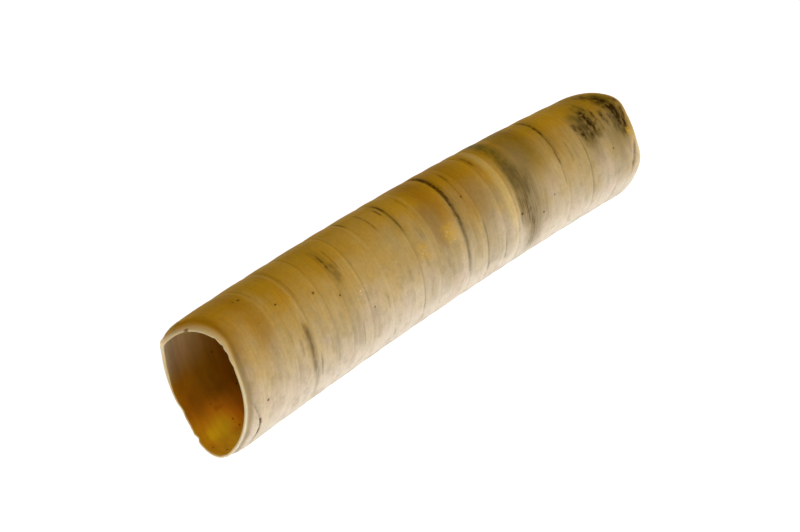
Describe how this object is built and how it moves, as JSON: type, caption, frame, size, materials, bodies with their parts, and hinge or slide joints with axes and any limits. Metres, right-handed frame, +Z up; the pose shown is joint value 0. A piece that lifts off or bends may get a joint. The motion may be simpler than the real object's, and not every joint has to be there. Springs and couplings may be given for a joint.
{
  "type": "tusk shell",
  "caption": "Gently bowed, slightly tapering tube of tusk shell, open at both ends, with fine slanting growth rings and a rounded front lip, lying on its side.",
  "frame": {"origin": "centre of the bounding box in X and Y, on the surface that the shell lies on", "axes": "+X along the tube from the wide front opening to the narrow back end, +Y towards the outer side of the bow, +Z up"},
  "size_m": [0.0254, 0.006, 0.0057],
  "materials": {
    "shell": "satin, worn smooth, cream to amber brown with grey and brown growth lines"
  },
  "bodies": {
    "root": {"shell": "shell"}
  },
  "joints": []
}
